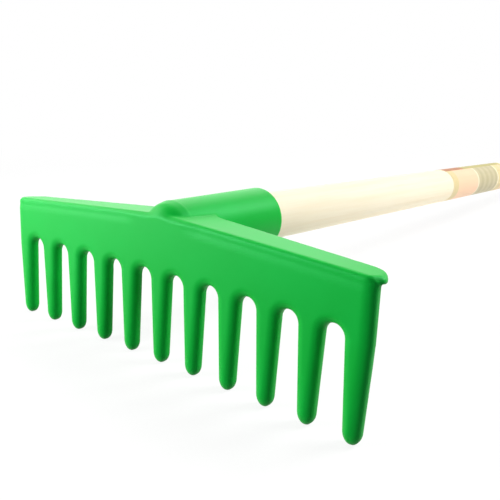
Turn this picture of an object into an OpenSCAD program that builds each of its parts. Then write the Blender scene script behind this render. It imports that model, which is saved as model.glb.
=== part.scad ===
// A child's sand rake: a moulded plastic head with eleven tines on a wooden dowel handle.
// It is modelled as it lies on the sand, on its tine tips and on the far end of its handle.
// X runs along the head, Y back along the handle and Z up. The origin is on the ground,
// in the middle of the rake's length and width.

/* [Handle] */
// Diameter of the wooden dowel
handle_d = 22; // [18:0.5:26]
// Length of the dowel, with the end that is hidden in the socket
handle_len = 700; // [500:10:900]
// Rounding of the dowel's far end
handle_end_round = 3; // [1:0.5:6]
// Chamfer of the dowel's end in the socket
handle_chamfer = 1; // [0.5:0.25:2]

/* [Tines] */
// Number of tines
tine_count = 11; // [5:1:15]
// Distance from one tine to the next
tine_pitch = 17.7; // [15:0.1:22]
// Length of a tine, from its tip to the top of the gap beside it
tine_len = 37.4; // [25:0.1:50]
// Width of a tine where the rounded top of the gap starts
tine_root_w = 9.4; // [7:0.1:11]
// Width of a tine where its point starts
tine_tip_w = 6.3; // [5:0.1:8]
// Length of the rounded point
tine_point_len = 4.6; // [3:0.1:8]

/* [Plate] */
// Plate in front of the head's middle surface
plate_front = 2.7; // [2.5:0.1:5]
// Plate behind the head's middle surface
plate_back = 2; // [0.8:0.1:3]
// Height of the plate's end above the top of the gaps
plate_end_h = 16.3; // [10:0.1:25]
// How much higher the plate stands at its middle than at its ends
plate_rise = 5.1; // [3:0.1:10]
// Plate beyond the middle of the last tine
plate_overhang = 4.9; // [4:0.1:8]
// Radius of the plate's top corners
plate_corner_r = 3; // [0.5:0.5:8]
// How far the ends of the head stand in front of its middle
head_bow = 2.1; // [1:0.1:8]
// Wall left in front of the hollow in the plate's back
core_wall = 1.9; // [1.5:0.1:3]
// Rim left round the hollow in the plate's back
core_rim = 2; // [1.5:0.1:3]

/* [Flange] */
// Thickness of the flange along the top of the plate
flange_t = 2; // [1.5:0.1:3]
// Step from the plate's top up to the flange's top
flange_step = 1.2; // [0.8:0.1:3]
// How far the flange's front edge lies behind the plate's front
flange_inset = 0.5; // [0.3:0.1:3]
// Depth of the flange behind the middle surface, beside the socket
flange_depth_mid = 16.4; // [12:0.2:20]
// Depth of the flange behind the middle surface, at its ends
flange_depth_end = 10.4; // [6:0.2:12]
// Flange beyond the plate's side
flange_overhang = 1.4; // [0.5:0.1:3]
// Radius of the flange's back corners
flange_corner_r = 9; // [3:0.5:10]
// Radius of the fillet between the flange and the socket, seen from above
flange_fillet_r = 7; // [3:0.5:10]

/* [Socket] */
// Depth of the socket's axis below the middle of the plate's top
socket_drop = 6.85; // [3:0.05:12]
// Wall of the socket at its mouth
socket_wall = 2.45; // [1.8:0.05:4]
// How much thinner the socket's wall is at its front end
socket_draft = 1.05; // [0:0.05:1.5]
// Distance from the head's middle surface to the socket's mouth
socket_len = 59; // [45:0.5:90]
// Radius of the rounded edge of the socket's mouth
socket_lip_r = 1.2; // [0.5:0.1:2]
// Distance from the head's middle surface to the seat of the dowel
socket_floor = 3; // [2:0.1:5]
// Gap between the dowel and the socket's bore
socket_clearance = 0.05; // [0.02:0.01:0.1]
// Distance from the head's middle surface back to the edge of the rounded front cap
cap_back = 3; // [2:0.25:6]
// Radius of the rounding between the cap's flat front and its side
cap_round_r = 4; // [2:0.5:5]
// Lean of the cap's side from the socket's axis
cap_lean = 35; // [25:1:45]
// Step from the cap's edge up to the socket's tube
cap_step = 0.15; // [0.1:0.05:0.6]

/* [Fixing screw] */
// Distance from the head's middle surface to the screw
screw_y = 40; // [30:0.5:50]
// Diameter of the screw's head
screw_head_d = 6.6; // [5:0.1:8]
// Height of the screw's head
screw_head_h = 1.5; // [1:0.1:2]
// Diameter of the screw's shank
screw_shank_d = 3.5; // [2.5:0.1:4.5]
// Length of the screw
screw_len = 16; // [12:0.5:20]
// Length of the screw's pointed end
screw_point_len = 4; // [2:0.5:6]
// Depth of the screw's head below the socket's surface
screw_sink = 0.35; // [0.2:0.05:0.6]
// Gap all round the screw
screw_clearance = 0.05; // [0.02:0.01:0.1]
// Length of the cross recess in the screw's head
recess_len = 3.6; // [2:0.1:4.5]
// Width of the cross recess
recess_w = 0.9; // [0.5:0.1:1.2]
// Depth of the cross recess
recess_depth = 0.9; // [0.4:0.1:1.2]

/* [Label] */
// Distance from the head's middle surface to the label's near edge
label_y = 257.5; // [150:0.5:300]
// Length of the label along the handle
label_len = 112; // [60:1:180]
// Thickness of the label
label_t = 0.2; // [0.1:0.05:0.4]
// Gap between the label and the wood
label_clearance = 0.02; // [0.01:0.01:0.05]

/* [Hidden] */
$fn = 64;
// Facets of the wide, gentle curves of the head
wide_fn = 720;
// Overrun of every cut past the face that it opens
cut_over = 1;

handle_r = handle_d / 2;
half_span = (tine_count - 1) / 2 * tine_pitch;
plate_half = half_span + plate_overhang;
plate_end_z = tine_len + plate_end_h;
flange_half = plate_half + flange_overhang;
// Height of the socket's axis above the tine tips
socket_h = plate_end_z + plate_rise - socket_drop;
tine_root_r = tine_root_w / 2;
tine_tip_r = tine_tip_w / 2;
arch_r = tine_pitch / 2 - tine_root_r;
arch_z = tine_len - arch_r;

// The middle surface of the head is a wide arc seen from above
bow_r = (pow(half_span, 2) + pow(head_bow, 2)) / (2 * head_bow);
// Height and depth of the blocks that the head's outlines are cut from
block_z = socket_h + handle_d;
block_y = handle_d;

bore_r = handle_r + socket_clearance;
mouth_r = handle_r + socket_wall;
tube_front_r = mouth_r - socket_draft;
cap_r = tube_front_r - cap_step;
// Distance from the middle to the tube's side, level with the flange's top
tube_side = sqrt(max(pow(tube_front_r, 2) - pow(socket_drop + flange_step, 2), pow(cap_round_r, 2)));

shank_r = screw_shank_d / 2;
screw_head_r = screw_head_d / 2;
tube_r_at_screw = tube_front_r + socket_draft * (screw_y - cap_back) / (socket_len - cap_back);
// Distance from the socket's axis to the outer face of the screw's head
screw_face = tube_r_at_screw - screw_sink;

// The rake lies tilted, so that the tips and the far end of the handle touch the ground.
// Lengths along the lying handle are taken from the line of the tips.
handle_far = socket_floor + handle_len;
end_low = socket_h - handle_r + handle_end_round;
end_back = handle_far - handle_end_round;
tilt = acos(handle_end_round / norm([end_low, end_back])) - atan2(end_back, end_low);

// The front and back of the lying rake, which put the origin in the middle of its length
lying_front = -(head_bow + min(tine_tip_r, plate_front)) * cos(tilt) + tine_point_len * sin(tilt);
lying_back = end_back * cos(tilt) + (socket_h + handle_r - handle_end_round) * sin(tilt)
    + handle_end_round;

// How far the middle surface stands forward at a distance x from the middle
function bow_at(x) = bow_r - sqrt(pow(bow_r, 2) - pow(x, 2));
// Radius of a tine at a height z above its tip
function tine_r_at(z) = tine_tip_r
    + (tine_root_r - tine_tip_r) * (min(z, arch_z) - tine_point_len) / (arch_z - tine_point_len);

// Puts a piece of the level rake where it lies on the ground
module lying() {
    translate([0, -(lying_front + lying_back) / 2, 0]) rotate([-tilt, 0, 0]) children();
}

// Turns a shape drawn round the Z axis so that it lies along the socket's axis
module along_socket() {
    translate([0, 0, socket_h]) rotate([-90, 0, 0]) children();
}

// Carries an outline drawn in X and Z through the whole depth of the head
module through_head() {
    translate([0, block_y, 0]) rotate([90, 0, 0]) linear_extrude(2 * block_y) children();
}

// A sheet that follows the bow, from one distance in front of it to one behind it
module bowed_sheet(front, back, height) {
    translate([0, -bow_r, 0]) difference() {
        cylinder(r = bow_r + back, h = height, $fn = wide_fn);
        translate([0, 0, -cut_over])
            cylinder(r = bow_r - front, h = height + 2 * cut_over, $fn = wide_fn);
    }
}

// What lies over the top edge of the plate, moved up by lift. The edge rises in a straight slope
// from each end to the middle.
module over_the_top(lift) {
    end_z = plate_end_z + lift;
    polygon([
        [-block_z - plate_half, end_z],
        [-plate_half, end_z],
        [0, end_z + plate_rise],
        [plate_half, end_z],
        [block_z + plate_half, end_z],
        [block_z + plate_half, end_z + block_z],
        [-block_z - plate_half, end_z + block_z]
    ]);
}

// The plate's outline: upright sides, round top corners and a round arch over each gap
module plate_outline() {
    top_half = plate_half - plate_corner_r;
    difference() {
        union() {
            polygon([
                [-plate_half, arch_z],
                [plate_half, arch_z],
                [plate_half, plate_end_z - plate_corner_r],
                [top_half, plate_end_z],
                [top_half, plate_end_z + plate_rise],
                [-top_half, plate_end_z + plate_rise],
                [-top_half, plate_end_z],
                [-plate_half, plate_end_z - plate_corner_r]
            ]);
            for (side = [-1, 1])
                translate([side * top_half, plate_end_z - plate_corner_r]) circle(r = plate_corner_r);
        }
        over_the_top(0);
        for (i = [1 : tine_count - 1])
            translate([(i - tine_count / 2) * tine_pitch, arch_z]) circle(r = arch_r);
    }
}

// A round tine with a pointed arch for a tip, standing on its tip
module tine_solid() {
    point_steps = 8;
    rotate_extrude() polygon(concat(
        [[0, 0]],
        [for (i = [1 : point_steps]) let (a = 90 * i / point_steps)
            [tine_tip_r * sin(a), tine_point_len * (1 - cos(a))]],
        [[tine_root_r, arch_z], [tine_root_r, tine_len], [0, tine_len]]
    ));
}

// The row of tines, cut flat along their backs and level with the plate in front
module tines() {
    intersection() {
        for (i = [0 : tine_count - 1])
            let (x = i * tine_pitch - half_span)
                translate([x, -bow_at(x), 0]) tine_solid();
        bowed_sheet(plate_front, plate_back, tine_len + cut_over);
    }
}

// The hollow in the back: a long pocket on each side of the socket and a channel in each tine
module core_outline() {
    low = tine_len + core_rim;
    inner = mouth_r + core_rim;
    outer = plate_half - core_rim;
    channel_low = 2 * tine_point_len;
    difference() {
        union() {
            for (side = [-1, 1])
                translate([side > 0 ? inner : -outer, low])
                    square([outer - inner, plate_end_z + plate_rise - low]);
            for (i = [0 : tine_count - 1])
                translate([i * tine_pitch - half_span, 0]) {
                    half_low = tine_r_at(channel_low) - core_rim;
                    half_high = tine_r_at(tine_len) - core_rim;
                    polygon([
                        [-half_low, channel_low], [half_low, channel_low],
                        [half_high, low + cut_over], [-half_high, low + cut_over]
                    ]);
                    translate([0, channel_low]) circle(r = half_low);
                }
        }
        over_the_top(flange_step - flange_t - core_rim);
        translate([0, socket_h]) circle(r = inner);
    }
}

// The flange's outline from above: deepest beside the socket, with round back corners. Its ends
// come out of the plate's sides on a slope.
module flange_outline() {
    end_front = -bow_at(flange_half);
    end_y = end_front + flange_depth_end;
    corner_r = min(flange_corner_r, flange_depth_end);
    reach = flange_half - corner_r;
    front_half = flange_half - plate_front;
    union() {
        polygon([
            [-front_half, -block_y], [front_half, -block_y],
            [front_half, end_front - plate_front], [flange_half, end_front],
            [flange_half, end_y - corner_r], [reach, end_y],
            [mouth_r, flange_depth_mid], [-mouth_r, flange_depth_mid],
            [-reach, end_y], [-flange_half, end_y - corner_r],
            [-flange_half, end_front], [-front_half, end_front - plate_front]
        ]);
        for (side = [-1, 1])
            translate([side * reach, end_y - corner_r]) circle(r = corner_r);
        difference() {
            translate([-tube_side - flange_fillet_r, 0])
                square([2 * (tube_side + flange_fillet_r), flange_depth_mid + flange_fillet_r]);
            for (side = [-1, 1])
                translate([side * (tube_side + flange_fillet_r), flange_depth_mid + flange_fillet_r])
                    circle(r = flange_fillet_r);
        }
    }
}

// The flange: a strip that follows the plate's top, cut to its outline from above
module flange() {
    intersection() {
        through_head() difference() {
            translate([-flange_half, plate_end_z - flange_t])
                square([2 * flange_half, plate_rise + 2 * flange_t]);
            over_the_top(flange_step);
            difference() {
                translate([-plate_half, 0]) square([2 * plate_half, block_z]);
                over_the_top(flange_step - flange_t);
            }
            for (side = [-1, 1])
                translate([side > 0 ? plate_half : -plate_half - block_z, 0])
                    square([block_z, plate_end_z + flange_step - flange_t]);
        }
        linear_extrude(block_z) flange_outline();
        translate([0, -bow_r, 0]) difference() {
            cylinder(r = bow_r + 2 * block_y, h = block_z, $fn = wide_fn);
            translate([0, 0, -cut_over])
                cylinder(r = bow_r - plate_front + flange_inset, h = block_z + 2 * cut_over, $fn = wide_fn);
        }
    }
}

// The socket's tube, with a rounded mouth
module socket_tube() {
    along_socket() {
        translate([0, 0, cap_back])
            cylinder(r1 = tube_front_r, r2 = mouth_r, h = socket_len - socket_lip_r - cap_back);
        translate([0, 0, socket_len - socket_lip_r])
            rotate_extrude() {
                square([mouth_r - socket_lip_r, socket_lip_r]);
                intersection() {
                    translate([mouth_r - socket_lip_r, 0]) circle(r = socket_lip_r);
                    square([mouth_r, socket_lip_r]);
                }
            }
    }
}

// The rounded cap that closes the socket's front, level with the plate's front
module socket_cap() {
    cap_steps = 6;
    turn = 90 - cap_lean;
    side_len = cap_back + plate_front - cap_round_r * (1 - cos(turn));
    flat_r = cap_r - side_len * tan(cap_lean) - cap_round_r * sin(turn);
    along_socket() rotate_extrude() polygon(concat(
        [[0, -plate_front]],
        [for (i = [0 : cap_steps]) let (a = turn * i / cap_steps)
            [flat_r + cap_round_r * sin(a), cap_round_r * (1 - cos(a)) - plate_front]],
        [[cap_r, cap_back], [cap_r, cap_back + cut_over], [0, cap_back + cut_over]]
    ));
}

module rake_head() {
    color("mediumseagreen") lying() difference() {
        union() {
            intersection() {
                through_head() plate_outline();
                bowed_sheet(plate_front, plate_back, block_z);
            }
            tines();
            flange();
            socket_tube();
            socket_cap();
        }
        intersection() {
            through_head() core_outline();
            bowed_sheet(plate_front - core_wall, plate_back + cut_over, block_z);
        }
        along_socket() translate([0, 0, socket_floor])
            cylinder(r = bore_r, h = socket_len);
        translate([0, screw_y, socket_h]) screw_space();
    }
}

// The room for the screw: a seat for its head and a hole for its shank
module screw_space() {
    head_r = screw_head_r + screw_clearance;
    hole_r = shank_r + screw_clearance;
    translate([0, 0, -mouth_r - cut_over]) cylinder(r = head_r, h = mouth_r + cut_over - screw_face);
    translate([0, 0, -screw_face]) cylinder(r1 = head_r, r2 = hole_r, h = screw_head_h);
    translate([0, 0, -screw_face]) cylinder(r = hole_r, h = screw_len + screw_clearance);
}

// The dowel, with a chamfered end in the socket, a rounded far end and a pilot hole
module handle() {
    straight = handle_len - handle_chamfer - handle_end_round;
    color("wheat") lying() difference() {
        along_socket() translate([0, 0, socket_floor]) {
            cylinder(r1 = handle_r - handle_chamfer, r2 = handle_r, h = handle_chamfer);
            translate([0, 0, handle_chamfer]) cylinder(r = handle_r, h = straight);
            translate([0, 0, handle_chamfer + straight]) rotate_extrude() {
                square([handle_r - handle_end_round, handle_end_round]);
                intersection() {
                    translate([handle_r - handle_end_round, 0]) circle(r = handle_end_round);
                    square([handle_r, handle_end_round]);
                }
            }
        }
        translate([0, screw_y, socket_h]) screw_space();
    }
}

// A countersunk wood screw, driven up into the dowel from below
module fixing_screw() {
    color("silver") lying() translate([0, screw_y, socket_h - screw_face]) difference() {
        union() {
            cylinder(r1 = screw_head_r, r2 = shank_r, h = screw_head_h);
            cylinder(r = shank_r, h = screw_len - screw_point_len);
            translate([0, 0, screw_len - screw_point_len])
                cylinder(r1 = shank_r, r2 = 0, h = screw_point_len);
        }
        for (turn = [0, 90])
            rotate([0, 0, turn]) translate([-recess_len / 2, -recess_w / 2, -cut_over])
                cube([recess_len, recess_w, recess_depth + cut_over]);
    }
}

// The printed label, wrapped once round the dowel
module label() {
    inner_r = handle_r + label_clearance;
    color("burlywood") lying() along_socket() translate([0, 0, label_y]) difference() {
        cylinder(r = inner_r + label_t, h = label_len);
        translate([0, 0, -cut_over]) cylinder(r = inner_r, h = label_len + 2 * cut_over);
    }
}

rake_head();
handle();
fixing_screw();
label();
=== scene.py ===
"""The finished look of a child's sand rake: a moulded head on a wooden dowel, lying on its tips.

Shapes are worked out in millimetres on the level rake: X along the head, Y back along the handle, Z
up from the tine tips, with the head's middle surface at Y = 0. Lying.place then puts them where the
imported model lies. Lengths are in millimetres where nothing else is said, and angles in radians.
"""

import logging
import math
from dataclasses import dataclass, field
from enum import Enum
from typing import Callable

import bpy
import numpy as np
from mathutils import Matrix, Vector

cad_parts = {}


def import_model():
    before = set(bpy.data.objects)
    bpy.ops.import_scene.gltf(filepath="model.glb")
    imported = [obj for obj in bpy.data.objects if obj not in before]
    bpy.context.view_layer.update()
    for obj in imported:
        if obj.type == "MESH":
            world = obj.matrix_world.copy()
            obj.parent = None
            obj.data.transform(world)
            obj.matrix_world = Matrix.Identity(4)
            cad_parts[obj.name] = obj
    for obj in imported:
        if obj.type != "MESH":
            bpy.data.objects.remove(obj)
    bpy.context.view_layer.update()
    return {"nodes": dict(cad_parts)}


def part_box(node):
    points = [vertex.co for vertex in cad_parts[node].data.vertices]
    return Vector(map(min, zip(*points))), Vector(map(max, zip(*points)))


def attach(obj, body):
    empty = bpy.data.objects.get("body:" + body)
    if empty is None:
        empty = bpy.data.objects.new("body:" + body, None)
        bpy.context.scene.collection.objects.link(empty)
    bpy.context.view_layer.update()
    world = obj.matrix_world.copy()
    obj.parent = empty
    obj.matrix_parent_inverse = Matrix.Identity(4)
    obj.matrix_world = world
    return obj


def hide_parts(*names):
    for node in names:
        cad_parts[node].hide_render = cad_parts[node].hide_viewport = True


MM = 0.001
SLAB = 24  # layers of the grid that are worked out at a time
SLIDES = 4  # how often the net's points slide towards the surface
PROBE = 0.08  # distance over which a slope is measured, as a share of the grid's step
FLATTEST = 0.05  # least square of a slope that a slide divides by
LONGEST_SLIDE = 1.0 / 3.0  # as a share of the grid's step
TINY = 1e-9  # keeps a division from zero
WAVE_TURN = 20.0  # the wave texture's turn over one unit of place, in radians
AXIS_H = 51.95  # the handle's axis above the tips
HANDLE_R = 11.0
HANDLE_LEN = 700.0
HANDLE_START = 3.0  # the socket's floor, where the handle begins
HANDLE_ROUND = 3.0  # rounding of the handle's far end
BLACK = (0.0, 0.0, 0.0, 1.0)
WHITE = (1.0, 1.0, 1.0, 1.0)
ROOT_BODY = "root"
LOG = logging.getLogger("sand_rake")
Array = np.ndarray
Distance = Callable[[Array], Array]
Triple = tuple[float, float, float]
Span = tuple[float, float]
Colour = tuple[float, float, float, float]
Tree = bpy.types.NodeTree
Socket = bpy.types.NodeSocket


class Slot(Enum):
    """Names of material slots, listed beside the new pieces; nothing in the script gives them to the
    pieces.
    """

    PLASTIC = "green_plastic"
    WOOD = "pale_wood"
    PAPER = "printed_paper"


def round_edge(a: Array, b: Array, radius: Array | float) -> Array:
    """Cuts one solid by another and rounds the edge that this makes outwards.

    Where both distances are within the radius of zero, the edge is a quarter circle about the point
    that lies one radius inside both faces; elsewhere the larger distance holds.

    Args:
        a: Signed distance to the first face, negative inside.
        b: Signed distance to the second face.
        radius: Radius of the rounded edge.

    Returns:
        The signed distance to the shape that both hold.
    """
    u, v = a + radius, b + radius
    corner = np.hypot(np.maximum(u, 0.0), np.maximum(v, 0.0)) - radius
    return corner + np.minimum(np.maximum(u, v), 0.0)


def soft_join(a: Array, b: Array, width: float) -> Array:
    """Joins two solids with a soft fillet, as a mould leaves in a corner.

    The smaller distance holds, lowered by h * h * width / 4, where h falls evenly from one where
    the two are equal to zero where they are a width apart.

    Args:
        a: Signed distance to the first solid.
        b: Signed distance to the second solid.
        width: How far apart the two distances may be and still blend.

    Returns:
        The signed distance to the joined solid.
    """
    h = np.maximum(width - np.abs(a - b), 0.0) / width
    return np.minimum(a, b) - h * h * width / 4.0


def net_surface(distance: Distance, low: Triple, high: Triple, step: float) -> tuple[Array, Array]:
    """Covers the zero level of a distance with a net of four-sided faces.

    Each cell of a cubic grid that the surface crosses gets one vertex, at the mean of the crossings
    on its twelve edges, and each crossed grid edge gets the face through the four cells around it.
    The vertices then slide along the gradient, by distance over slope, until they lie on the
    surface itself.

    Args:
        distance: Function that turns points of shape (n, 3) into signed distances.
        low: Lowest corner of the grid.
        high: Highest corner of the grid.
        step: Side of a cell.

    Returns:
        The vertices, and the faces as rows of four vertex numbers that point outwards.
    """
    axes = [np.arange(a, b + step, step) for a, b in zip(low, high)]
    shape = tuple(len(a) for a in axes)
    field_values = np.empty(shape)
    yz = np.stack(np.meshgrid(axes[1], axes[2], indexing="ij"), -1).reshape(-1, 2)
    for start in range(0, shape[0], SLAB):
        xs = axes[0][start:start + SLAB]
        points = np.empty((len(xs), len(yz), 3))
        points[:, :, 0] = xs[:, None]
        points[:, :, 1:] = yz
        values = distance(points.reshape(-1, 3))
        field_values[start:start + SLAB] = values.reshape(len(xs), shape[1], shape[2])
    inside = field_values < 0.0
    cells = tuple(n - 1 for n in shape)
    total = np.zeros(cells + (3,))
    count = np.zeros(cells)
    for axis in range(3):
        others = [a for a in range(3) if a != axis]
        for da in (0, 1):
            for db in (0, 1):
                cut = [slice(None)] * 3
                cut[others[0]] = slice(da, da + cells[others[0]])
                cut[others[1]] = slice(db, db + cells[others[1]])
                first, second = list(cut), list(cut)
                first[axis], second[axis] = slice(0, cells[axis]), slice(1, cells[axis] + 1)
                v0, v1 = field_values[tuple(first)], field_values[tuple(second)]
                crossed = inside[tuple(first)] != inside[tuple(second)]
                share = np.where(crossed, v0 / np.where(crossed, v0 - v1, 1.0), 0.0)
                total[..., axis] += share
                total[..., others[0]] += crossed * da
                total[..., others[1]] += crossed * db
                count += crossed
    used = count > 0
    number = np.full(cells, -1, dtype=np.int64)
    number[used] = np.arange(int(used.sum()))
    corner = np.stack(np.nonzero(used), -1).astype(float)
    vertices = np.asarray(low) + step * (corner + total[used] / count[used][:, None])
    faces = []
    for axis in range(3):
        b, c = (axis + 1) % 3, (axis + 2) % 3
        first, second = [slice(None)] * 3, [slice(None)] * 3
        first[axis], second[axis] = slice(0, cells[axis]), slice(1, cells[axis] + 1)
        starts = inside[tuple(first)]
        crossed = starts != inside[tuple(second)]
        at = np.stack(np.nonzero(crossed), -1)
        keep = (at[:, b] > 0) & (at[:, c] > 0) & (at[:, b] < cells[b]) & (at[:, c] < cells[c])
        at = at[keep]
        ring = []
        for db, dc in ((1, 1), (0, 1), (0, 0), (1, 0)):
            cell = at.copy()
            cell[:, b] -= db
            cell[:, c] -= dc
            ring.append(number[cell[:, 0], cell[:, 1], cell[:, 2]])
        quad = np.stack(ring, -1)
        outwards = starts[at[:, 0], at[:, 1], at[:, 2]]
        quad[outwards] = quad[outwards][:, ::-1]
        faces.append(quad)
    for _ in range(SLIDES):
        vertices = slide_to_surface(distance, vertices, step)
    return vertices, np.concatenate(faces)


def slide_to_surface(distance: Distance, points: Array, step: float) -> Array:
    """Moves points towards a distance's zero level, by the distance over its slope.

    Args:
        distance: Function that turns points into signed distances.
        points: Points of shape (n, 3).
        step: Side of the grid's cell.

    Returns:
        The moved points.
    """
    reach = step * PROBE
    here = distance(points)
    slope = np.empty_like(points)
    for axis in range(3):
        shift = np.zeros(3)
        shift[axis] = reach
        slope[:, axis] = (distance(points + shift) - distance(points - shift)) / (2.0 * reach)
    steep = np.maximum((slope * slope).sum(1), FLATTEST)
    move = -(here / steep)[:, None] * slope
    size = np.linalg.norm(move, axis=1, keepdims=True)
    return points + move * np.minimum(1.0, step * LONGEST_SLIDE / np.maximum(size, TINY))


@dataclass
class Lying:
    """How the rake lies: on its tips and on the far end of its handle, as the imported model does."""

    handle_r: float = HANDLE_R
    handle_len: float = HANDLE_LEN
    end_round: float = HANDLE_ROUND
    socket_floor: float = HANDLE_START
    socket_h: float = AXIS_H

    @property
    def tilt(self) -> float:
        """Slope of the handle in radians: the turn at which tips and far end reach one level."""
        low = self.socket_h - self.handle_r + self.end_round
        back = self.socket_floor + self.handle_len - self.end_round
        return math.acos(self.end_round / math.hypot(low, back)) - math.atan2(back, low)

    @property
    def shift(self) -> float:
        """Place of the tips' line along Y in millimetres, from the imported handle's far end."""
        back = self.socket_floor + self.handle_len - self.end_round
        high = self.socket_h + self.handle_r - self.end_round
        reach = back * math.cos(self.tilt) + high * math.sin(self.tilt) + self.end_round
        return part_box("handle")[1].y / MM - reach

    def place(self, points: Array) -> Array:
        """Turns points of the level rake, in millimetres, into places of the lying one, in metres.

        Args:
            points: Points of shape (n, 3).

        Returns:
            The places.
        """
        y, z = points[:, 1], points[:, 2]
        cos, sin = math.cos(self.tilt), math.sin(self.tilt)
        placed = np.stack([points[:, 0], self.shift + y * cos + z * sin, z * cos - y * sin], -1)
        return placed * MM


def add_object(name: str, data: bpy.types.ID) -> bpy.types.Object:
    """Makes an object of a mesh, lamp or camera, and puts it into the scene."""
    piece = bpy.data.objects.new(name, data)
    bpy.context.scene.collection.objects.link(piece)
    return piece


def build_mesh(name: str, points: Array, faces: Array, lying: Lying,
               material: bpy.types.Material) -> bpy.types.Object:
    """Makes an object of worked-out points and faces, at the origin, where the rake lies.

    Args:
        name: Name of the object and its mesh.
        points: Points on the level rake, in millimetres, of shape (n, 3).
        faces: Rows of four vertex numbers. A row whose last two are equal is a triangle.
        lying: Where the rake lies.
        material: The piece's finish.

    Returns:
        The new object.
    """
    placed = lying.place(points)
    triangle = faces[:, 2] == faces[:, 3]
    quads, tris = faces[~triangle], faces[triangle][:, :3]
    loops = np.concatenate([quads.ravel(), tris.ravel()]).astype(np.int32)
    sizes = np.concatenate([np.full(len(quads), 4), np.full(len(tris), 3)]).astype(np.int32)
    mesh = bpy.data.meshes.new(name)
    mesh.vertices.add(len(placed))
    mesh.vertices.foreach_set("co", placed.astype(np.float32).ravel())
    mesh.loops.add(len(loops))
    mesh.loops.foreach_set("vertex_index", loops)
    mesh.polygons.add(len(sizes))
    starts = np.concatenate([[0], np.cumsum(sizes)[:-1]]).astype(np.int32)
    mesh.polygons.foreach_set("loop_start", starts)
    mesh.polygons.foreach_set("use_smooth", np.full(len(sizes), True))
    mesh.update(calc_edges=True)
    mesh.validate()
    mesh.materials.append(material)
    return add_object(name, mesh)


def grid_faces(rows: int, columns: int, closed: bool) -> Array:
    """Faces of a grid of rows by columns of points, numbered row by row.

    Args:
        rows: Number of rows.
        columns: Number of points in a row.
        closed: Whether the last column joins the first.

    Returns:
        Rows of four vertex numbers.
    """
    across = columns if closed else columns - 1
    r, c = np.meshgrid(np.arange(rows - 1), np.arange(across), indexing="ij")
    n = (c + 1) % columns
    near, far = r * columns, (r + 1) * columns
    return np.stack([near + c, near + n, far + n, far + c], -1).reshape(-1, 4)


def strip_faces(first: Array, second: Array) -> Array:
    """Faces between two open rows of vertex numbers."""
    return np.stack([first[1:], second[1:], second[:-1], first[:-1]], -1)


def fan_faces(ring: Array, pole: int) -> Array:
    """Triangles between a closed ring of vertex numbers and a pole, which ends each row twice."""
    tip = np.full_like(ring, pole)
    return np.stack([ring, np.roll(ring, -1), tip, tip], -1)


def turned(radius: Array, place: Array, angle: Array) -> Array:
    """Points (r cos a, y, r sin a) about the handle's axis, row by row.

    Args:
        radius: Distances from the axis.
        place: Places along the axis, one for each row.
        angle: Turns about the axis, one for each column.

    Returns:
        Points of shape (n, 3).
    """
    parts = np.broadcast_arrays(radius * np.cos(angle), place, AXIS_H + radius * np.sin(angle))
    return np.stack(parts, -1).reshape(-1, 3)


def linear(code: str) -> Colour:
    """Turns sRGB hex into linear values: c / 12.92 when dark, else ((c + 0.055) / 1.055) ** 2.4."""
    parts = [int(code[i:i + 2], 16) / 255.0 for i in (1, 3, 5)]
    r, g, b = (c / 12.92 if c <= 0.04045 else ((c + 0.055) / 1.055) ** 2.4 for c in parts)
    return (r, g, b, 1.0)


def add_node(tree: Tree, kind: str, values: dict | None = None) -> bpy.types.Node:
    """Adds a node and sets it up.

    Args:
        tree: The node tree.
        kind: The node's type name.
        values: What goes to each input, by its name or number, or to each property, by its name. A
            socket is linked; a number, word or colour is set.

    Returns:
        The new node.
    """
    node = tree.nodes.new(kind)
    for name, value in (values or {}).items():
        if isinstance(value, Socket):
            tree.links.new(value, node.inputs[name])
        elif isinstance(name, int) or name in node.inputs:
            node.inputs[name].default_value = value
        else:
            setattr(node, name, value)
    return node


def add_ramp(tree: Tree, value: Socket, stops: list[tuple[float, Colour]],
             interpolation: str = "LINEAR") -> Socket:
    """Adds a colour ramp.

    Args:
        tree: The material's node tree.
        value: What the ramp reads.
        stops: Places from 0 to 1 with their linear colours, in order.
        interpolation: How the ramp runs between stops.

    Returns:
        The ramp's colour.
    """
    node = add_node(tree, "ShaderNodeValToRGB", {"Fac": value})
    node.color_ramp.interpolation = interpolation
    while len(node.color_ramp.elements) < len(stops):
        node.color_ramp.elements.new(1.0)
    for element, (place, colour) in zip(node.color_ramp.elements, stops):
        element.position = place
        element.color = colour
    return node.outputs["Color"]


def add_gate(tree: Tree, value: Socket, span: Span) -> Socket:
    """Adds a ramp that is one inside the span and zero outside it."""
    return add_ramp(tree, value, [(0.0, BLACK), (span[0], WHITE), (span[1], BLACK)], "CONSTANT")


def add_noise(tree: Tree, place: Socket, size_mm: float, detail: float,
              rough: float = 0.5) -> Socket:
    """Adds noise and gives back its value.

    Args:
        tree: The material's node tree.
        place: Where the noise is read, in metres.
        size_mm: Size of its largest marks.
        detail: How many times finer marks are laid over them.
        rough: How strong the finer marks are.

    Returns:
        The noise's value.
    """
    values = {"Vector": place, "Scale": 1.0 / (size_mm * MM), "Detail": detail, "Roughness": rough}
    return add_node(tree, "ShaderNodeTexNoise", values).outputs["Fac"]


def add_range(tree: Tree, value: Socket, source: Span, target: Span,
              smooth: bool = False) -> Socket:
    """Adds a node that turns one range of values into another and holds the ends.

    Args:
        tree: The node tree.
        value: What it reads.
        source: Range that it reads.
        target: Range that it gives.
        smooth: Whether it eases in and out.

    Returns:
        The new value.
    """
    values = {
        "Value": value, "interpolation_type": "SMOOTHSTEP" if smooth else "LINEAR",
        "From Min": source[0], "From Max": source[1], "To Min": target[0], "To Max": target[1]}
    return add_node(tree, "ShaderNodeMapRange", values).outputs["Result"]


def add_bump(tree: Tree, height: Socket, share: float, depth_mm: float) -> Socket:
    """Adds a bump of the given depth, at a share of full strength, and gives back its normal."""
    values = {"Height": height, "Strength": share, "Distance": depth_mm * MM}
    return add_node(tree, "ShaderNodeBump", values).outputs["Normal"]


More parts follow.
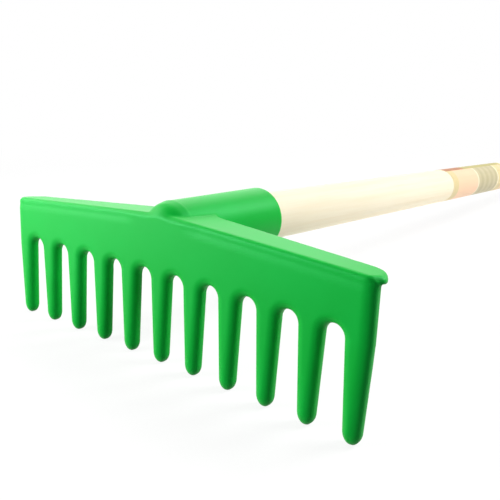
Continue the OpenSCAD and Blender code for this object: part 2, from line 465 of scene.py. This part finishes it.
def add_math(tree: Tree, operation: str, first: Socket, second: Socket) -> Socket:
    """Adds a sum, product or the like of two values."""
    values = {"operation": operation, 0: first, 1: second}
    return add_node(tree, "ShaderNodeMath", values).outputs["Value"]


def add_mix(tree: Tree, share: Socket, first: Socket | float, second: Socket | Colour | float,
            kind: str = "RGBA") -> Socket:
    """Adds a mix of two colours or numbers.

    Args:
        tree: The node tree.
        share: The second one's share.
        first: Socket or value that holds where the share is zero.
        second: Socket or value that holds where it is one.
        kind: RGBA for colours, FLOAT for numbers.

    Returns:
        The mix.
    """
    low, high, out = (6, 7, 2) if kind == "RGBA" else (2, 3, 0)
    values = {"data_type": kind, 0: share, low: first, high: second}
    return add_node(tree, "ShaderNodeMix", values).outputs[out]


def empty_tree(owner: bpy.types.Material | bpy.types.World) -> Tree:
    """Turns on the nodes of a material or world, and clears them."""
    owner.use_nodes = True
    owner.node_tree.nodes.clear()
    return owner.node_tree


def new_material(name: str) -> tuple[bpy.types.Material, Tree]:
    """Makes a material with an empty node tree."""
    material = bpy.data.materials.new(name)
    return material, empty_tree(material)


def add_shader(tree: Tree, values: dict) -> None:
    """Adds a principled shader with its inputs, and links it to the output."""
    shader = add_node(tree, "ShaderNodeBsdfPrincipled", values)
    add_node(tree, "ShaderNodeOutputMaterial", {"Surface": shader.outputs["BSDF"]})


@dataclass(frozen=True)
class MouldedPolypropylene:
    """Injection moulded polypropylene, dyed through: an even colour under a soft, uneven gloss."""

    colour: str = "#0BB038"
    shade: str = "#09AB33"
    flow_stops: Span = (0.35, 0.65)
    rough_range: Span = (0.41, 0.48)
    ior: float = 1.49
    gloss_level: float = 0.34
    gloss_tint: Colour = (0.1, 1.0, 0.42, 1.0)
    flow_mm: float = 28.0
    flow_detail: float = 2.0
    grain_mm: float = 0.5
    grain_detail: float = 3.0
    grain_depth_mm: float = 0.006
    grain_share: float = 0.35

    def build(self) -> bpy.types.Material:
        """Makes the material. Wide marks shift colour and gloss; a fine grain breaks the gloss."""
        material, tree = new_material("moulded_polypropylene")
        place = add_node(tree, "ShaderNodeTexCoord").outputs["Object"]
        flow = add_noise(tree, place, self.flow_mm, self.flow_detail)
        grain = add_noise(tree, place, self.grain_mm, self.grain_detail)
        stops = zip(self.flow_stops, (linear(self.shade), linear(self.colour)))
        add_shader(tree, {
            "Base Color": add_ramp(tree, flow, list(stops)),
            "Roughness": add_range(tree, flow, (0.0, 1.0), self.rough_range),
            "Normal": add_bump(tree, grain, self.grain_share, self.grain_depth_mm),
            "IOR": self.ior,
            "Specular IOR Level": self.gloss_level,
            "Specular Tint": self.gloss_tint})
        return material


@dataclass(frozen=True)
class SandedDowel:
    """Pale softwood, turned and sanded, not varnished: fine grain along it, barely any gloss."""

    early: str = "#EBE1C8"
    late: str = "#E7DABD"
    pore: str = "#DFD0A2"
    ring_stops: Span = (0.32, 0.62)
    roughness: float = 0.62
    ring_mm: float = 2.4
    ring_detail: float = 4.0
    ring_rough: float = 0.6
    stretch: float = 0.03
    pore_mm: float = 0.35
    pore_detail: float = 2.0
    pore_range: Span = (0.62, 0.8)
    pore_share: float = 0.5
    pore_depth_mm: float = 0.03
    depth_share: float = 0.5

    def build(self, lying: Lying) -> bpy.types.Material:
        """Makes the material. The grain is noise drawn out along the handle of the level rake.

        Args:
            lying: Where the rake lies, so that the grain runs along the handle.

        Returns:
            The material.
        """
        material, tree = new_material("sanded_softwood")
        place = add_node(tree, "ShaderNodeTexCoord").outputs["Object"]
        along = add_node(tree, "ShaderNodeMapping",
                         {"Vector": place, "Rotation": (lying.tilt, 0.0, 0.0)}).outputs["Vector"]
        drawn = add_node(tree, "ShaderNodeMapping",
                         {"Vector": along, "Scale": (1.0, self.stretch, 1.0)}).outputs["Vector"]
        rings = add_noise(tree, drawn, self.ring_mm, self.ring_detail, self.ring_rough)
        pores = add_noise(tree, drawn, self.pore_mm, self.pore_detail)
        stops = zip(self.ring_stops, (linear(self.late), linear(self.early)))
        wood = add_ramp(tree, rings, list(stops))
        dark = add_range(tree, pores, self.pore_range, (0.0, self.pore_share))
        add_shader(tree, {
            "Base Color": add_mix(tree, dark, wood, linear(self.pore)),
            "Roughness": self.roughness,
            "Normal": add_bump(tree, pores, self.depth_share, self.pore_depth_mm)})
        return material


class Ink(Enum):
    """The label's plain inks."""

    GROUND = "#D0BE8A"
    ORANGE = "#E8C19E"
    CREAM = "#E4D8BA"
    STRIPE_LIGHT = "#B9AF8A"
    STRIPE_DARK = "#ADA37D"
    OLIVE = "#A89E5C"
    RUST = "#A5693E"


@dataclass(frozen=True)
class PrintedPaper:
    """Coated paper with printed bands and a line along the handle: flat inks under a satin film.

    Bands and line change ink at places counted from the near edge. The line's width is a share of
    the way round the strip.
    """

    bands: tuple[tuple[float, Ink], ...] = (
        (0.0, Ink.GROUND), (9.0, Ink.ORANGE), (46.0, Ink.CREAM), (48.0, Ink.STRIPE_LIGHT),
        (88.0, Ink.CREAM), (90.0, Ink.GROUND), (101.0, Ink.ORANGE), (104.0, Ink.GROUND))
    line: tuple[tuple[float, Ink], ...] = ((0.0, Ink.RUST), (32.0, Ink.OLIVE))
    line_span: Span = (0.842, 0.916)
    block: Span = (49.5, 86.5)
    stripe: float = 10.058
    roughness: float = 0.45

    def build(self, length: float) -> bpy.types.Material:
        """Makes the material. Bands follow the map's V, along the handle from the near edge.

        Args:
            length: Length of the label, which V spans.

        Returns:
            The material.
        """
        material, tree = new_material("printed_paper")
        uv = add_node(tree, "ShaderNodeUVMap", {"uv_map": "label_map"}).outputs["UV"]
        split = add_node(tree, "ShaderNodeSeparateXYZ", {"Vector": uv}).outputs
        across, along = split["X"], split["Y"]
        printing = []
        for table in (self.bands, self.line):
            stops = [(start / length, linear(ink.value)) for start, ink in table]
            printing.append(add_ramp(tree, along, stops, "CONSTANT"))
        band, line = printing
        stripes = add_node(tree, "ShaderNodeTexWave", {
            "Vector": uv, "wave_type": "BANDS", "bands_direction": "Y",
            "Scale": math.tau / WAVE_TURN * length / self.stripe})
        in_block = add_gate(tree, along, (self.block[0] / length, self.block[1] / length))
        amount = add_math(tree, "MULTIPLY", stripes.outputs["Fac"], in_block)
        printed = add_mix(tree, amount, band, linear(Ink.STRIPE_DARK.value))
        lined = add_mix(tree, add_gate(tree, across, self.line_span), printed, line)
        add_shader(tree, {"Base Color": lined, "Roughness": self.roughness})
        return material


@dataclass(frozen=True)
class ZincPlatedSteel:
    """Steel screw with bright zinc plating: a bluish grey metal with a soft, patchy gloss."""

    colour: str = "#C9CBCC"
    rough_range: Span = (0.24, 0.44)
    patch_mm: float = 1.2
    patch_detail: float = 2.0

    def build(self) -> bpy.types.Material:
        """Makes the material, with a gloss that changes in small patches."""
        material, tree = new_material("zinc_plated_steel")
        place = add_node(tree, "ShaderNodeTexCoord").outputs["Object"]
        patch = add_noise(tree, place, self.patch_mm, self.patch_detail)
        add_shader(tree, {
            "Base Color": linear(self.colour),
            "Roughness": add_range(tree, patch, (0.0, 1.0), self.rough_range),
            "Metallic": 1.0})
        return material


@dataclass
class RakeHead:
    """The head: one moulding of plate, tines, flange, socket and cap that run into each other."""

    tine_count: int = 11
    pitch: float = 17.7
    tine_len: float = 37.4
    root_r: float = 4.88
    tip_r: float = 3.33
    point_len: float = 4.6
    front: float = 2.6
    back: float = 1.95
    tip_back: float = 2.9
    end_h: float = 16.3
    rise: float = 5.1
    overhang: float = 4.9
    bow: float = 2.1
    front_round: float = 2.6
    back_round: float = 0.8
    tip_round: float = 2.0
    side_share: float = 0.72
    outer_share: float = 0.56
    corner_r: float = 1.6
    roll_h: float = 4.8
    roll_in: float = 0.62
    roll_run: float = 8.0
    core_wall: float = 1.9
    core_rim: float = 2.0
    core_round: float = 1.0
    core_floor_round: float = 0.8
    flange_t: float = 2.3
    flange_step: float = 1.3
    flange_inset: float = 0.45
    flange_fall: float = 0.025
    flange_mid: float = 16.4
    flange_end: float = 10.4
    flange_overhang: float = 1.4
    flange_corner_r: float = 9.0
    end_set_back: float = 1.3
    flange_fillet_r: float = 7.0
    nose_round: float = 1.25
    end_round: float = 2.1
    end_run: float = 3.0
    end_fade: float = 6.0
    end_back: float = 9.0
    edge_round: float = 0.9
    under_round: float = 0.5
    flange_join: float = 0.9
    socket_join: float = 0.8
    socket_h: float = AXIS_H
    bore_r: float = 11.05
    mouth_r: float = 13.45
    draft: float = 1.05
    socket_len: float = 59.0
    lip_r: float = 1.2
    floor: float = HANDLE_START
    cap_back: float = 4.4
    cap_lap: float = 1.0
    cap_step: float = 0.05
    cap_round: float = 5.3
    cap_lean: float = math.radians(14.0)
    screw_y: float = 40.0
    screw_r: float = 3.35
    screw_face: float = 12.75
    grid_step: float = 0.64
    half_span: float = field(init=False)
    plate_half: float = field(init=False)
    end_z: float = field(init=False)
    arch_r: float = field(init=False)
    arch_z: float = field(init=False)
    tube_r: float = field(init=False)

    def __post_init__(self) -> None:
        """Works out the sizes that follow from the others."""
        self.half_span = (self.tine_count - 1) / 2.0 * self.pitch
        self.plate_half = self.half_span + self.overhang
        self.end_z = self.tine_len + self.end_h
        self.arch_r = self.pitch / 2.0 - self.root_r
        self.arch_z = self.tine_len - self.arch_r
        self.tube_r = self.mouth_r - self.draft

    def bow_at(self, x: Array) -> Array:
        """How far the middle surface stands forward at x: an arc through the head's ends."""
        radius = (self.half_span ** 2 + self.bow ** 2) / (2.0 * self.bow)
        return radius - np.sqrt(radius ** 2 - x ** 2)

    def top_at(self, x: Array) -> Array:
        """Height of the plate's top at x: a straight slope from each end up to the middle."""
        return self.end_z + self.rise * (1.0 - np.minimum(np.abs(x) / self.plate_half, 1.0))

    def outline(self, x: Array, z: Array) -> Array:
        """Distance to the head's outline seen from the front, open at the top, without the socket.

        A tine is a strip whose half width grows evenly from the point up, and ends in half an
        ellipse. Above the middle of the gaps' arches the outline is the plate's, less a circle for
        each gap.

        Args:
            x: Place along the head.
            z: Height above the tips.

        Returns:
            The signed distance in the plane of the plate.
        """
        grow = (self.root_r - self.tip_r) / (self.arch_z - self.point_len)
        last = (self.tine_count - 1) / 2
        nearest = np.clip(np.round(x / self.pitch), -last, last)
        across = np.abs(x - nearest * self.pitch)
        below = np.maximum(self.point_len - z, 0.0) / self.point_len
        strip = across - self.tip_r - grow * np.maximum(z - self.point_len, 0.0)
        point = (np.hypot(across / self.tip_r, below) - 1.0) * self.tip_r
        tine = np.where(z < self.point_len, point, strip)
        gap = np.clip(np.floor(x / self.pitch) + 0.5, 0.5 - last, last - 0.5)
        arch = self.arch_r - np.hypot(x - gap * self.pitch, z - self.arch_z)
        return np.where(z < self.arch_z, tine, np.maximum(np.abs(x) - self.plate_half, arch))

    def plate(self, x: Array, y: Array, z: Array) -> Array:
        """Distance to the plate and its tines: the outline, given depth and rounded on both faces.

        At the front the outline's distance counts by a share below one, which draws the rounding
        inwards, and most of all on the outer side of the two end tines. A tine deepens evenly from
        the plate's back towards its nearly round point. Just under the flange the front rolls in,
        by a square law, to the shallow groove at the flange's foot, which runs out beside the cap.

        Args:
            x: Place along the head.
            y: Place behind the bowed middle surface.
            z: Height above the tips.

        Returns:
            The signed distance.
        """
        outline = self.outline(x, z)
        down = np.clip((self.arch_z - z) / (self.arch_z - self.point_len), 0.0, 1.0)
        beside = np.clip((np.abs(x) - self.tube_r) / self.roll_run, 0.0, 1.0)
        under = np.clip(1.0 - (self.top_at(x) - z) / self.roll_h, 0.0, 1.0)
        roll = self.roll_in * beside * under ** 2
        share = np.where(np.abs(x) > self.half_span, self.outer_share, self.side_share)
        face = round_edge(outline * share, roll - y - self.front, self.front_round)
        back = self.back + (self.tip_back - self.back) * down
        back_edge = self.back_round + (self.tip_round - self.back_round) * down
        slab = np.maximum(face, round_edge(outline, y - back, back_edge))
        ends = round_edge(np.abs(x) - self.plate_half, z - self.top_at(x), self.corner_r)
        return np.maximum(slab, ends)

    def core(self, x: Array, y: Array, z: Array) -> Array:
        """Distance to the hollow in the back: the outline less the rim, behind the front wall.

        Args:
            x: Place along the head.
            y: Place behind the bowed middle surface.
            z: Height above the tips.

        Returns:
            The signed distance, negative in the hollow.
        """
        roof = z - self.top_at(x) - self.flange_step + self.flange_t
        inner = np.maximum(self.outline(x, z), roof) + self.core_rim
        near_socket = self.mouth_r + self.core_rim - np.hypot(x, z - self.socket_h)
        side = round_edge(inner, near_socket, self.core_round)
        side = round_edge(side, 2.0 * self.point_len - self.tip_r / 2.0 - z, self.core_round)
        return round_edge(side, self.core_wall - self.front - y, self.core_floor_round)

    def flange(self, x: Array, y: Array, z: Array, level_y: Array) -> Array:
        """Distance to the flange: a strip that follows the plate's top, with round back corners.

        Its back edge is a straight line from beside the socket to each end, and a circle cut out of
        a square corner makes the fillet at the socket. Its ends come out of the plate's sides on a
        slope of one to one, which starts a little behind the middle surface. Their top edge is
        rounded more than the rest; the extra rounding grows over the last stretch and fades out
        towards the back.

        Args:
            x: Place along the head.
            y: Place behind the bowed middle surface.
            z: Height above the tips.
            level_y: Place behind the straight middle plane.

        Returns:
            The signed distance.
        """
        half = self.plate_half + self.flange_overhang
        end_y = self.flange_end - self.bow_at(np.float64(half))
        run = half - self.flange_corner_r - self.mouth_r
        lean = math.atan2(self.flange_mid - end_y, run)
        away = np.abs(x)
        back = (level_y - self.flange_mid) * math.cos(lean) + (away - self.mouth_r) * math.sin(lean)
        plan = round_edge(away - half, back, self.flange_corner_r)
        slope = (away - half + self.end_set_back - y) / math.sqrt(2.0)
        plan = round_edge(plan, slope, self.edge_round)
        above = self.end_z + self.rise + self.flange_step - self.socket_h
        fillet_x = math.sqrt(self.tube_r ** 2 - above ** 2) + self.flange_fillet_r
        fillet_y = self.flange_mid + self.flange_fillet_r
        square = np.maximum(away - fillet_x, level_y - fillet_y)
        scoop = self.flange_fillet_r - np.hypot(away - fillet_x, level_y - fillet_y)
        plan = np.minimum(plan, np.maximum(square, scoop))
        nose = self.flange_inset - self.front - y
        plan = round_edge(plan, nose, self.nose_round)
        top = self.top_at(x) + self.flange_step + self.flange_fall * nose
        at_end = np.clip((away - self.plate_half) / self.end_run + 1.0, 0.0, 1.0)
        at_end = at_end * np.clip((self.end_back - y) / self.end_fade, 0.0, 1.0)
        rim = np.where(y < 0.0, self.nose_round, self.edge_round)
        rim = rim + (self.end_round - rim) * at_end
        over = round_edge(plan, z - top, rim)
        return round_edge(over, top - self.flange_t - z, self.under_round)

    def socket(self, x: Array, y: Array, z: Array) -> Array:
        """Distance to the socket: a drafted tube with a round lip, and a cap, narrower in front.

        Args:
            x: Place along the head.
            y: Place behind the middle plane.
            z: Height above the tips.

        Returns:
            The signed distance.
        """
        out = np.hypot(x, z - self.socket_h)
        behind = y - self.cap_back
        share = np.clip(behind / (self.socket_len - self.cap_back), 0.0, 1.0)
        radius = self.tube_r + self.draft * share
        tube = round_edge(out - radius, y - self.socket_len, self.lip_r)
        side = out - self.tube_r + self.cap_step
        lean = side * math.cos(self.cap_lean) - behind * math.sin(self.cap_lean)
        cap = round_edge(lean, -(y + self.front), self.cap_round)
        return np.minimum(np.maximum(tube, -behind), np.maximum(cap, behind - self.cap_lap))

    def distance(self, points: Array) -> Array:
        """Signed distance to the whole moulding, negative inside.

        Args:
            points: Points on the level rake, of shape (n, 3).

        Returns:
            One distance for each point.
        """
        x, level_y, z = points[:, 0], points[:, 1], points[:, 2]
        y = level_y + self.bow_at(x)
        body = np.maximum(self.plate(x, y, z), -self.core(x, y, z))
        body = soft_join(body, self.flange(x, y, z, level_y), self.flange_join)
        body = soft_join(body, self.socket(x, level_y, z), self.socket_join)
        body = np.maximum(body, -(y + self.front))
        out = np.hypot(x, z - self.socket_h)
        body = np.maximum(body, -np.maximum(out - self.bore_r, self.floor - level_y))
        from_screw = np.hypot(x, level_y - self.screw_y)
        below = z - (self.socket_h - self.screw_face)
        seat = np.maximum(from_screw - self.screw_r, below)
        hole = np.maximum(from_screw - self.screw_r / 2.0, z - self.socket_h)
        return np.maximum(body, -np.minimum(seat, hole))

    def build(self, lying: Lying, material: bpy.types.Material) -> bpy.types.Object:
        """Makes the moulding as one closed mesh.

        Args:
            lying: Where the rake lies.
            material: Its finish.

        Returns:
            The new piece.
        """
        margin = 2.0 * self.grid_step
        half = self.plate_half + self.flange_overhang + margin
        low = (-half, -self.front - self.bow - 2.0 * margin, -margin)
        high = (half, self.socket_len + margin, self.socket_h + self.mouth_r + margin)
        points, faces = net_surface(self.distance, low, high, self.grid_step)
        return build_mesh("head_moulding", points, faces, lying, material)


@dataclass
class Dowel:
    """The wooden handle: a round rod, chamfered in the socket and rounded at its far end."""

    radius: float = HANDLE_R
    length: float = HANDLE_LEN
    start: float = HANDLE_START
    chamfer: float = 1.0
    end_round: float = HANDLE_ROUND
    around: int = 160
    rings: int = 240
    end_steps: int = 9

    def build(self, lying: Lying, material: bpy.types.Material) -> bpy.types.Object:
        """Makes the rod as a profile carried round its axis.

        The profile runs up the near end, over the chamfer, along the rod and round a quarter circle
        to the middle of the far end. Each of its points gives a ring.

        Args:
            lying: Where the rake lies.
            material: Its finish.

        Returns:
            The new piece.
        """
        turn = np.linspace(0.0, math.pi / 2.0, self.end_steps)[1:]
        near, far = self.start, self.start + self.length
        near_r, far_r = self.radius - self.chamfer, self.radius - self.end_round
        bend = far - self.end_round
        reach = np.concatenate([[near_r / 2.0, near_r], np.full(self.rings, self.radius),
                                far_r + self.end_round * np.cos(turn), [far_r / 2.0]])[:, None]
        place = np.concatenate([[near, near], np.linspace(near + self.chamfer, bend, self.rings),
                                bend + self.end_round * np.sin(turn), [far]])[:, None]
        angle = np.linspace(0.0, math.tau, self.around, endpoint=False)
        wall = turned(reach, place, angle)
        poles = [[0.0, near, AXIS_H], [0.0, far, AXIS_H]]
        ring, end = np.arange(self.around), len(wall)
        faces = [grid_faces(len(reach), self.around, True)[:, ::-1], fan_faces(ring, end),
                 fan_faces(end - 1 - ring, end + 1)]
        points = np.concatenate([wall, poles])
        return build_mesh("dowel", points, np.concatenate(faces), lying, material)


@dataclass
class Wrap:
    """The label: a paper strip once round the dowel, its far edge glued over the near one."""

    inner_r: float = 11.02
    start: float = 257.5
    length: float = 112.0
    thickness: float = 0.056
    glue_share: float = 0.4
    climb_turn: float = 0.12
    lap: float = math.radians(38.0)
    seam: float = math.radians(74.0)
    around: int = 200
    rings: int = 60

    def build(self, lying: Lying, material: bpy.types.Material) -> bpy.types.Object:
        """Makes the strip with its inner and outer face, its edges, and a map for the print.

        The strip's inner face follows a circle. Where the lap begins it climbs by half the paper's
        thickness, on the smooth step c * c * (3 - 2 c), and the strip thickens by the glue's share,
        so that the lap lies on the near edge without a gap. U runs once round the strip and V along
        the handle.

        Args:
            lying: Where the rake lies.
            material: Its finish.

        Returns:
            The new piece.
        """
        share, along = np.linspace(0.0, 1.0, self.around), np.linspace(0.0, 1.0, self.rings)
        passed = share * (math.tau + self.lap)
        angle = self.seam - passed
        climb = np.clip((passed - math.tau) / self.climb_turn + 1.0, 0.0, 1.0)
        base = self.inner_r + self.thickness / 2.0 * climb * climb * (3.0 - 2.0 * climb)
        rows = (self.start + along * self.length)[:, None]
        outside = base + self.thickness * (1.0 + self.glue_share * climb)
        points = np.concatenate([turned(outside, rows, angle), turned(base, rows, angle)])
        count = self.rings * self.around
        outer = grid_faces(self.rings, self.around, False)
        near, low = np.arange(self.around), np.arange(self.rings) * self.around
        far, high = near + count - self.around, low + self.around - 1
        edges = [strip_faces(near, near + count), strip_faces(far + count, far),
                 strip_faces(low + count, low), strip_faces(high, high + count)]
        faces = np.concatenate([outer, outer[:, ::-1] + count, *edges])
        piece = build_mesh("wrapped_label", points, faces, lying, material)
        self.map_print(piece, share, along)
        return piece

    def map_print(self, piece: bpy.types.Object, share: Array, along: Array) -> None:
        """Writes the map: each vertex takes the share of the strip round and along, on both faces.

        Args:
            piece: The label.
            share: Places round the strip, from 0 to 1.
            along: Places along the handle, from 0 to 1.
        """
        mesh = piece.data
        v, u = np.meshgrid(along, share, indexing="ij")
        each = np.tile(np.stack([u.ravel(), v.ravel()], -1), (2, 1))
        corner = np.empty(len(mesh.loops), dtype=np.int32)
        mesh.loops.foreach_get("vertex_index", corner)
        layer = mesh.uv_layers.new(name="label_map")
        layer.data.foreach_set("uv", each[corner].astype(np.float32).ravel())


@dataclass
class Camera:
    """The photograph's viewpoint, worked out from the tips, gaps and handle.

    The picture's middle lies off the lens's axis by a quarter of a pixel each way.
    """

    x: float = 173.452
    y: float = -154.965
    z: float = 110.711
    yaw: float = math.radians(-39.441)
    pitch: float = math.radians(15.642)
    roll: float = math.radians(0.265)
    lens: float = 45.329
    sensor: float = 36.0
    off_centre: float = 0.0005
    clip: Span = (0.01, 20.0)

    def build(self, lying: Lying) -> None:
        """Makes the camera. Y counts from the tips' line.

        Args:
            lying: Where the rake lies.
        """
        level, fall = math.cos(self.pitch), math.sin(self.pitch)
        ahead = Vector((math.sin(self.yaw) * level, math.cos(self.yaw) * level, -fall))
        right = Vector((math.cos(self.yaw), -math.sin(self.yaw), 0.0))
        up = right.cross(ahead)
        cos, sin = math.cos(self.roll), math.sin(self.roll)
        right, up = right * cos + up * sin, up * cos - right * sin
        data = bpy.data.cameras.new("photograph")
        data.lens = self.lens
        data.sensor_width = self.sensor
        data.sensor_fit = "HORIZONTAL"
        data.shift_x = -self.off_centre
        data.shift_y = self.off_centre
        data.clip_start, data.clip_end = self.clip
        camera = add_object("photograph", data)
        turn = Matrix((right, up, -ahead)).transposed().to_4x4()
        place = Vector((self.x, self.y + lying.shift, self.z)) * MM
        camera.matrix_world = Matrix.Translation(place) @ turn
        bpy.context.scene.camera = camera


@dataclass(frozen=True)
class Panel:
    """A square lamp that faces the head, with its place and size in metres and its power in watts.

    Bearing and elevation are in degrees. The bearing counts from the front, positive to the right.
    """

    name: str
    bearing: float
    elevation: float
    distance: float
    size: float
    power: float


@dataclass
class Studio:
    """A white table in soft light: low soft boxes from the left, larger ones from behind and above.

    Lengths are in metres.
    """

    panels: tuple[Panel, ...] = (
        Panel("front_left_panel", -42.0, 14.0, 0.42, 0.26, 2.35),
        Panel("side_left_panel", -75.0, 30.0, 0.5, 0.3, 0.95),
        Panel("back_right_panel", 140.0, 42.0, 1.0, 0.5, 11.5),
        Panel("behind_panel", 224.0, 13.0, 1.0, 0.8, 1.9),
        Panel("overhead_panel", 215.0, 50.0, 1.2, 0.8, 3.6),
    )
    floor_half: float = 4.0
    floor_white: float = 0.97
    floor_grey: float = 0.25
    bounce_span: Span = (0.015, 0.075)
    shadow_share: float = 0.12
    shadow_span: Span = (0.35, 0.75)
    world_light: float = 0.02
    world_front: float = 0.35
    front_span: Span = (-1.0, 0.2)
    aim_h: float = 0.045

    def floor_material(self, lying: Lying) -> bpy.types.Material:
        """White card that keeps a faint shadow.

        The camera and the reflections see an even white, less a share that takes the true light
        near the head and fades out with the distance from it. Everything else sees matt grey card
        in front of and under the head, and matt white card behind it.

        Args:
            lying: Where the rake lies.

        Returns:
            The material.
        """
        material, tree = new_material("white_card")
        ray = add_node(tree, "ShaderNodeLightPath").outputs
        place = add_node(tree, "ShaderNodeTexCoord").outputs["Object"]
        tips = lying.shift * MM
        away = add_node(tree, "ShaderNodeVectorMath", {
            "operation": "DISTANCE", 0: place, 1: (0.0, tips, 0.0)}).outputs["Value"]
        back = add_node(tree, "ShaderNodeSeparateXYZ", {"Vector": place}).outputs["Y"]
        even = add_range(tree, away, self.shadow_span, (1.0 - self.shadow_share, 1.0), True)
        seen = add_math(tree, "MAXIMUM", ray["Is Camera Ray"], ray["Is Glossy Ray"])
        span = (tips + self.bounce_span[0], tips + self.bounce_span[1])
        bounce = add_range(tree, back, span, (self.floor_grey, self.floor_white), True)
        paint = add_mix(tree, ray["Is Camera Ray"], bounce, self.floor_white, "FLOAT")
        matt = add_node(tree, "ShaderNodeBsdfDiffuse", {"Color": paint}).outputs["BSDF"]
        white = add_node(tree, "ShaderNodeEmission", {"Color": WHITE, "Strength": 1.0})
        mixed = add_node(tree, "ShaderNodeMixShader", {
            0: add_math(tree, "MULTIPLY", seen, even), 1: matt, 2: white.outputs["Emission"]})
        add_node(tree, "ShaderNodeOutputMaterial", {"Surface": mixed.outputs["Shader"]})
        return material

    def build_floor(self, lying: Lying) -> None:
        """Makes the table top: one square at height zero, with its middle at the origin.

        Args:
            lying: Where the rake lies.
        """
        half = self.floor_half
        mesh = bpy.data.meshes.new("table_top")
        corners = [(-half, -half, 0.0), (half, -half, 0.0), (half, half, 0.0), (-half, half, 0.0)]
        mesh.from_pydata(corners, [], [(0, 1, 2, 3)])
        mesh.materials.append(self.floor_material(lying))
        floor = add_object("table_top", mesh)

    def build_world(self) -> None:
        """Gives the world an even light, which the camera sees as white.

        Reflections see white behind and above, and less of it in front, where the camera stands.
        """
        world = bpy.data.worlds.new("studio")
        bpy.context.scene.world = world
        tree = empty_tree(world)
        ray = add_node(tree, "ShaderNodeLightPath").outputs
        place = add_node(tree, "ShaderNodeTexCoord").outputs["Generated"]
        split = add_node(tree, "ShaderNodeSeparateXYZ", {"Vector": place}).outputs
        side = add_math(tree, "SUBTRACT", split["Y"], split["X"])
        mirrored = add_range(tree, side, self.front_span, (self.world_front, 1.0), True)
        plain = add_mix(tree, ray["Is Glossy Ray"], self.world_light, mirrored, "FLOAT")
        strength = add_mix(tree, ray["Is Camera Ray"], plain, 1.0, "FLOAT")
        sky = add_node(tree, "ShaderNodeBackground", {"Color": WHITE, "Strength": strength})
        add_node(tree, "ShaderNodeOutputWorld", {"Surface": sky.outputs["Background"]})

    def add_panel(self, panel: Panel, place: Vector, aim: Vector) -> None:
        """Adds a square soft lamp.

        Args:
            panel: The lamp's name, size and power.
            place: Where it stands, in metres.
            aim: The point that it faces.
        """
        data = bpy.data.lights.new(panel.name, "AREA")
        data.size = panel.size
        data.energy = panel.power
        lamp = add_object(panel.name, data)
        lamp.location = place
        lamp.rotation_euler = (aim - place).to_track_quat("-Z", "Y").to_euler()

    def build(self, lying: Lying) -> None:
        """Makes the floor, the world and the lamps.

        Args:
            lying: Where the rake lies.
        """
        self.build_floor(lying)
        self.build_world()
        head = Vector((0.0, lying.shift * MM, self.aim_h))
        for panel in self.panels:
            turn, rise = math.radians(panel.bearing), math.radians(panel.elevation)
            level = math.cos(rise)
            towards = Vector((math.sin(turn) * level, -math.cos(turn) * level, math.sin(rise)))
            self.add_panel(panel, head + towards * panel.distance, head)


def main() -> None:
    """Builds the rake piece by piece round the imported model, and lights it."""
    logging.basicConfig(level=logging.INFO, format="%(name)s: %(message)s")
    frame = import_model()
    bpy.context.scene.view_settings.view_transform = "Standard"
    lying = Lying()
    LOG.info("the rake leans by %.3f degrees, its tips at y = %.2f mm",
             math.degrees(lying.tilt), lying.shift)
    Camera().build(lying)
    label = Wrap()
    pieces = [
        (RakeHead().build(lying, MouldedPolypropylene().build()), "rake_head", Slot.PLASTIC),
        (Dowel().build(lying, SandedDowel().build(lying)), "handle", Slot.WOOD),
        (label.build(lying, PrintedPaper().build(label.length)), "label", Slot.PAPER),
    ]
    for piece, node, slot in pieces:
        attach(piece, ROOT_BODY)
        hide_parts(node)
        LOG.info("%s stands for %s with %d faces", piece.name, node, len(piece.data.polygons))
    screw = frame["nodes"]["fixing_screw"]
    screw.data.materials.clear()
    screw.data.materials.append(ZincPlatedSteel().build())
    Studio().build(lying)


if __name__ == "__main__":
    main()
